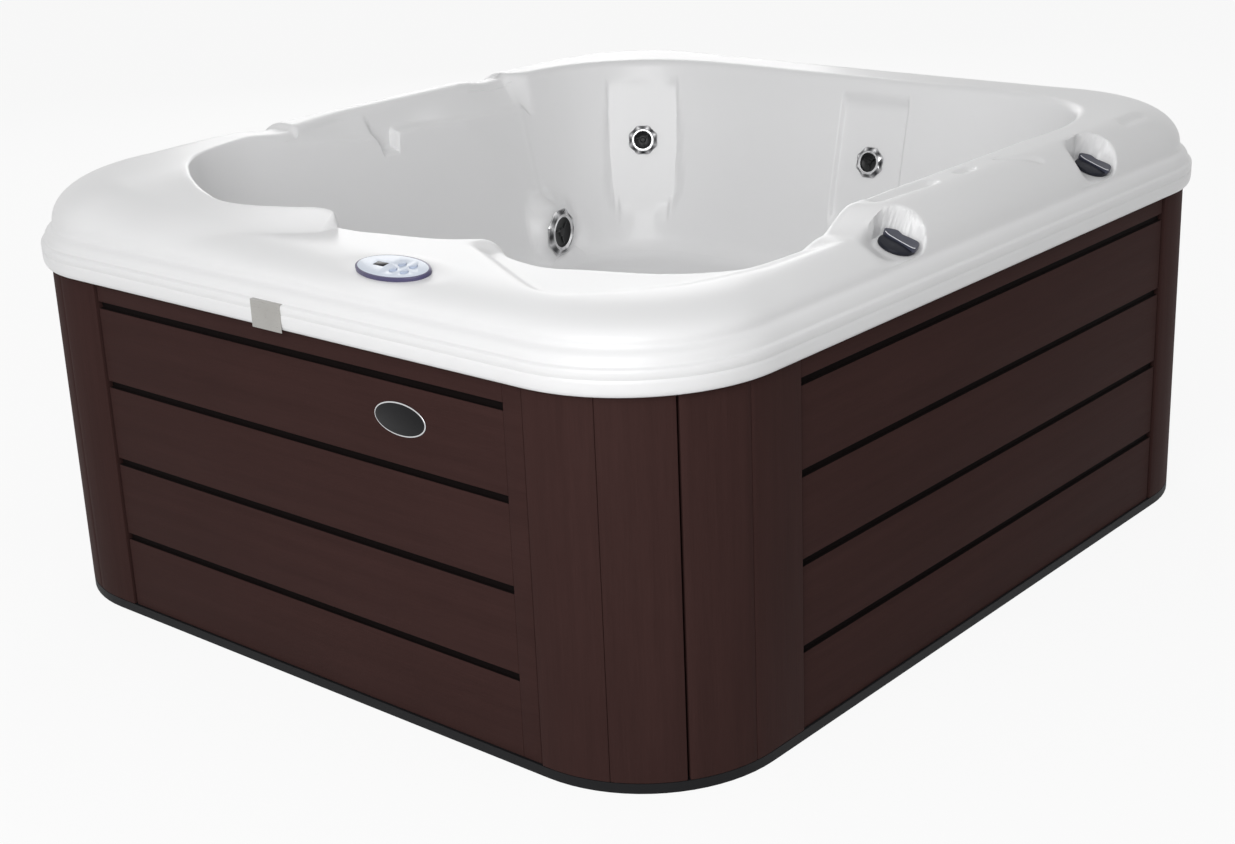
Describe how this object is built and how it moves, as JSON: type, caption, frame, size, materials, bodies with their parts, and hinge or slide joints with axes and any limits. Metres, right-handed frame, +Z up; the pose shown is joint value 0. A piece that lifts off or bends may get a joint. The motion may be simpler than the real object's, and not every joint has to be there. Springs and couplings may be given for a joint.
{
  "type": "hot tub",
  "caption": "Free-standing hot tub: white acrylic shell with a stepped rim in a brown boarded cabinet, with turning jets, rim valves, an oval topside control and a pump set.",
  "frame": {"origin": "centre of the underside of the base pan", "axes": "+Z up, -Y the front with the control, +X the side with the valves, +Y along the long side"},
  "size_m": [1.7, 1.9312, 0.836],
  "materials": {
    "acrylic": "glossy white acrylic moulding",
    "cabinet_board": "chocolate brown composite board with a fine grain",
    "base_black": "black moulded base pan",
    "timber": "sawn softwood frame",
    "zinc": "zinc plated bolts",
    "chrome": "polished chrome plating",
    "stainless": "brushed stainless sheet",
    "badge_black": "black enamel, bare",
    "control_grey": "grey violet moulded housing",
    "control_face": "pale blue white overlay",
    "display_dark": "dark display window",
    "valve_slate": "slate grey moulded handle",
    "nozzle_black": "black moulded nozzle",
    "pipe_white": "white pressure pipe",
    "hose_clear": "flexible vinyl hose",
    "motor_case": "cast aluminium motor",
    "wet_end_black": "black moulded wet end",
    "heater_steel": "stainless heater tube",
    "pack_grey": "grey control pack case",
    "foam": "rigid insulation slab"
  },
  "bodies": {
    "tub": {"shell": "acrylic", "base_pan": "base_black", "frame_bolts": "zinc", "floor_slab": "foam", "frame_front": "timber", "panel_front": "cabinet_board", "frame_right": "timber", "panel_right": "cabinet_board", "frame_back": "timber", "panel_back": "cabinet_board", "frame_left": "timber", "panel_left": "cabinet_board", "board_front_right_a": "cabinet_board", "board_front_right_b": "cabinet_board", "board_front_left_a": "cabinet_board", "board_front_left_b": "cabinet_board", "board_back_right_a": "cabinet_board", "board_back_right_b": "cabinet_board", "board_back_left_a": "cabinet_board", "board_back_left_b": "cabinet_board", "jet_corner_body": "pipe_white", "hose_corner": "hose_clear", "jet_back_body": "pipe_white", "hose_back": "hose_clear", "jet_left_body": "pipe_white", "hose_left": "hose_clear", "valve_front_body": "pipe_white", "valve_back_body": "pipe_white", "control_housing": "control_grey", "control_face": "control_face", "control_display": "display_dark", "badge_plate": "badge_black", "badge_ring": "chrome", "rim_plate": "stainless", "pump_motor": "motor_case", "pump_wet_end": "wet_end_black", "suction_cover_left": "nozzle_black", "suction_cover_right": "nozzle_black", "suction_pipe": "pipe_white", "pressure_pipe": "pipe_white", "supply_pipe": "pipe_white", "manifold": "pipe_white", "heater_tube": "heater_steel", "control_pack": "pack_grey", "drain_pipe": "pipe_white", "cable_gland": "nozzle_black"},
    "jet_corner_bezel": {"jet_corner_bezel": "chrome"},
    "jet_corner_nozzle": {"jet_corner_nozzle": "nozzle_black"},
    "jet_back_bezel": {"jet_back_bezel": "chrome"},
    "jet_back_nozzle": {"jet_back_nozzle": "nozzle_black"},
    "jet_left_bezel": {"jet_left_bezel": "chrome"},
    "jet_left_nozzle": {"jet_left_nozzle": "nozzle_black"},
    "valve_front_handle": {"valve_front_handle": "valve_slate"},
    "valve_back_handle": {"valve_back_handle": "valve_slate"},
    "control_button_1": {"control_button_1": "control_face"},
    "control_button_2": {"control_button_2": "control_face"},
    "control_button_3": {"control_button_3": "control_face"},
    "control_button_4": {"control_button_4": "control_face"},
    "pump_impeller": {"pump_impeller": "wet_end_black"},
    "drain_cap": {"drain_cap": "nozzle_black"}
  },
  "joints": [
    {"name": "jet_corner_bezel_turn", "type": "hinge", "parent": "tub", "child": "jet_corner_bezel", "pos_m": [-0.52133, 0.65478, 0.651], "axis": [0.572, -0.7872, 0.2305], "range_deg": [0, 90]},
    {"name": "jet_corner_nozzle_spin", "type": "hinge", "parent": "jet_corner_bezel", "child": "jet_corner_nozzle", "pos_m": [-0.52133, 0.65478, 0.651], "axis": [0.572, -0.7872, 0.2305], "continuous": true},
    {"name": "jet_back_bezel_turn", "type": "hinge", "parent": "tub", "child": "jet_back_bezel", "pos_m": [0.093, 0.71818, 0.651], "axis": [0, -0.9731, 0.2305], "range_deg": [0, 90]},
    {"name": "jet_back_nozzle_spin", "type": "hinge", "parent": "jet_back_bezel", "child": "jet_back_nozzle", "pos_m": [0.093, 0.71818, 0.651], "axis": [0, -0.9731, 0.2305], "continuous": true},
    {"name": "jet_left_bezel_turn", "type": "hinge", "parent": "tub", "child": "jet_left_bezel", "pos_m": [-0.58637, 0.412, 0.466], "axis": [0.9848, 0.1736, 0], "range_deg": [0, 90]},
    {"name": "jet_left_nozzle_spin", "type": "hinge", "parent": "jet_left_bezel", "child": "jet_left_nozzle", "pos_m": [-0.58637, 0.412, 0.466], "axis": [0.9848, 0.1736, 0], "continuous": true},
    {"name": "valve_front_turn", "type": "hinge", "parent": "tub", "child": "valve_front_handle", "pos_m": [0.788, -0.255, 0.77], "axis": [0.342, 0, 0.9397], "range_deg": [-90, 90]},
    {"name": "valve_back_turn", "type": "hinge", "parent": "tub", "child": "valve_back_handle", "pos_m": [0.788, 0.432, 0.77], "axis": [0.342, 0, 0.9397], "range_deg": [-90, 90]},
    {"name": "control_button_1_press", "type": "slide", "parent": "tub", "child": "control_button_1", "axis": [0, 0.1736, -0.9848], "range_m": [0, 0.0012], "stiffness_N_per_m": 800},
    {"name": "control_button_2_press", "type": "slide", "parent": "tub", "child": "control_button_2", "axis": [0, 0.1736, -0.9848], "range_m": [0, 0.0012], "stiffness_N_per_m": 800},
    {"name": "control_button_3_press", "type": "slide", "parent": "tub", "child": "control_button_3", "axis": [0, 0.1736, -0.9848], "range_m": [0, 0.0012], "stiffness_N_per_m": 800},
    {"name": "control_button_4_press", "type": "slide", "parent": "tub", "child": "control_button_4", "axis": [0, 0.1736, -0.9848], "range_m": [0, 0.0012], "stiffness_N_per_m": 800},
    {"name": "pump_spin", "type": "hinge", "parent": "tub", "child": "pump_impeller", "pos_m": [-0.06, -0.64, 0.124], "axis": [1, 0, 0], "continuous": true},
    {"name": "drain_cap_turn", "type": "hinge", "parent": "tub", "child": "drain_cap", "pos_m": [-0.12, 0.946, 0.09], "axis": [0, 1, 0], "range_deg": [0, 350]}
  ]
}
